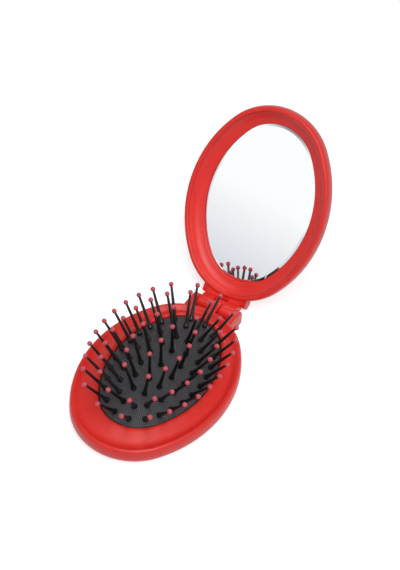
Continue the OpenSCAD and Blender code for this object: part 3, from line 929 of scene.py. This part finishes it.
class BRUSH_OT_mirror(Operator):
    """Sweep the mirror glass with its ground bevel"""

    bl_idname = "brush.mirror"
    bl_label = "Mirror glass"

    def execute(self, context):
        scene = context.scene
        body, lid = scene.brush_body, scene.brush_lid
        edge = lid.mirror_inset + 0.2 * MM
        depth = lid.mirror_depth
        profile = [
            (edge + lid.bevel, depth), (edge, depth + 0.2 * MM), (edge, depth + lid.glass - 0.1 * MM),
            (edge + 0.1 * MM, depth + lid.glass),
        ]
        bm = bmesh.new()
        sweep_oval(bm, Oval(body), profile, fill=True)
        put_on_lid(scene, bm)
        make_piece("mirror_pane", bm, silvered_glass(), "lid", ["mirror_glass"], sharp=math.radians(10))
        return {"FINISHED"}


class BRUSH_OT_hidden_pieces(Operator):
    """Finish the underside, the push pad and the inner pieces that stay as modelled"""

    bl_idname = "brush.hidden_pieces"
    bl_label = "Underside and inner pieces"

    def execute(self, context):
        for name in ("base_back", "push_pad"):
            dress_node(name, satin_red_abs())
        for name in ("clamp_ring", "pin_carrier"):
            dress_node(name, satin_black_abs())
        dress_node("hinge_pin", drawn_steel())
        dress_node("mirror_tape", foam_tape())
        return {"FINISHED"}


class BRUSH_OT_stage(Operator):
    """Lay the floor, hang the lamps and set up the camera"""

    bl_idname = "brush.stage"
    bl_label = "Stage"

    def execute(self, context):
        scene = context.scene
        stage = scene.brush_stage

        bm = bmesh.new()
        bmesh.ops.create_grid(bm, x_segments=1, y_segments=1, size=3.0)
        bmesh.ops.translate(bm, verts=bm.verts, vec=(0, 0, -0.0002))
        mesh = bpy.data.meshes.new("floor")
        bm.to_mesh(mesh)
        bm.free()
        floor = bpy.data.objects.new("floor", mesh)
        scene.collection.objects.link(floor)
        material, shader, tree = new_material("Matt white paper sweep")
        set_shader(shader, Base_Color=rgba(scene.brush_colours.floor), Roughness=0.9)
        # The floor's own glow is for the camera and for reflections alone, and keeps the shadow
        glow = add_node(tree, "ShaderNodeMath", {0: seen_or_reflected(tree), 1: 0.7}, operation="MULTIPLY")
        set_shader(shader, Emission_Color=(1, 1, 1, 1))
        tree.links.new(glow.outputs[0], shader.inputs["Emission Strength"])
        floor.data.materials.append(material)

        # The room by the sine of the elevation: pale grey near the horizon, a white wall from
        # 17 degrees up, and a dimmer ceiling
        world = bpy.data.worlds.new("Studio")
        scene.world = world
        world.use_nodes = True
        tree = world.node_tree
        background = tree.nodes["Background"]
        place = add_node(tree, "ShaderNodeTexCoord")
        split = add_node(tree, "ShaderNodeSeparateXYZ", {"Vector": place.outputs["Generated"]})
        sky = add_node(tree, "ShaderNodeValToRGB", {"Fac": split.outputs["Z"]})
        ramp = sky.color_ramp.elements
        ramp[0].position = 0.235
        ramp[0].color = linear("#D9DBE2") + (1,)
        ramp[1].position = 0.286
        ramp[1].color = (1, 1, 1, 1)
        for position, code in ((0.56, "#FFFFFF"), (0.7, "#828284"), (1.0, "#6E6E70")):
            step = ramp.new(position)
            step.color = linear(code) + (1,)
        light = {"Value": seen_or_reflected(tree), "To Min": stage.sky, "To Max": 1.0}
        strength = add_node(tree, "ShaderNodeMapRange", light)
        tree.links.new(sky.outputs["Color"], background.inputs["Color"])
        tree.links.new(strength.outputs["Result"], background.inputs["Strength"])

        for name, power, size, place in (
            ("key", stage.key, 0.4, (0.31, -0.25, 0.64)),
            ("top", stage.top, 0.45, (-0.03, 0, 0.75)),
        ):
            lamp = bpy.data.lights.new(name, "AREA")
            lamp.energy = power
            lamp.size = size
            holder = bpy.data.objects.new(name, lamp)
            scene.collection.objects.link(holder)
            holder.location = place
            holder.rotation_euler = (Vector((0, 0.03, 0.01)) - Vector(place)).to_track_quat("-Z", "Y").to_euler()

        az, el, roll = stage.azimuth, stage.elevation, stage.roll
        back = Vector((math.sin(az) * math.cos(el), -math.cos(az) * math.cos(el), math.sin(el)))
        right = Vector((math.cos(az), math.sin(az), 0))
        up = back.cross(right)
        right, up = right * math.cos(roll) + up * math.sin(roll), up * math.cos(roll) - right * math.sin(roll)
        target = Vector((0, 0.030, 0.0235)) + right * stage.aim_right + up * stage.aim_up
        camera = bpy.data.objects.new("camera", bpy.data.cameras.new("camera"))
        scene.collection.objects.link(camera)
        camera.data.lens = stage.scale * stage.distance / MM / PICTURE * SENSOR
        camera.matrix_world = Matrix((right, up, back)).transposed().to_4x4()
        camera.location = target + back * stage.distance
        scene.camera = camera
        scene.view_settings.view_transform = "Standard"
        return {"FINISHED"}


class BRUSH_PT_panel(Panel):
    """Lists the pieces of the hairbrush and their sizes"""

    bl_idname = "BRUSH_PT_panel"
    bl_label = "Hairbrush"
    bl_space_type = "VIEW_3D"
    bl_region_type = "UI"
    bl_category = "Hairbrush"

    def draw(self, context):
        for operator in OPERATORS:
            self.layout.operator(operator.bl_idname)
        for name, group in GROUPS.items():
            box = self.layout.box()
            box.label(text=group.__name__)
            for key in group.__annotations__:
                box.prop(getattr(context.scene, name), key)


GROUPS = {
    "brush_body": BrushBody,
    "brush_cushion": BrushCushion,
    "brush_pins": BrushPins,
    "brush_lid": BrushLid,
    "brush_hinge": BrushHinge,
    "brush_colours": BrushColours,
    "brush_stage": BrushStage,
}
OPERATORS = (
    BRUSH_OT_base_shell,
    BRUSH_OT_hinge_bracket,
    BRUSH_OT_cushion,
    BRUSH_OT_pins,
    BRUSH_OT_tips,
    BRUSH_OT_lid_shell,
    BRUSH_OT_lid_knuckles,
    BRUSH_OT_mirror_frame,
    BRUSH_OT_mirror,
    BRUSH_OT_hidden_pieces,
    BRUSH_OT_stage,
)


def register():
    for name, group in GROUPS.items():
        bpy.utils.register_class(group)
        setattr(bpy.types.Scene, name, PointerProperty(type=group))
    for operator in OPERATORS:
        bpy.utils.register_class(operator)
    bpy.utils.register_class(BRUSH_PT_panel)


def unregister():
    bpy.utils.unregister_class(BRUSH_PT_panel)
    for operator in reversed(OPERATORS):
        bpy.utils.unregister_class(operator)
    for name, group in reversed(GROUPS.items()):
        delattr(bpy.types.Scene, name)
        bpy.utils.unregister_class(group)


def main():
    register()
    bpy.ops.brush.base_shell()
    bpy.ops.brush.hinge_bracket()
    bpy.ops.brush.cushion()
    bpy.ops.brush.pins()
    bpy.ops.brush.tips()
    bpy.ops.brush.lid_shell()
    bpy.ops.brush.lid_knuckles()
    bpy.ops.brush.mirror_frame()
    bpy.ops.brush.mirror()
    bpy.ops.brush.hidden_pieces()
    bpy.ops.brush.stage()


if __name__ == "__main__":
    main()
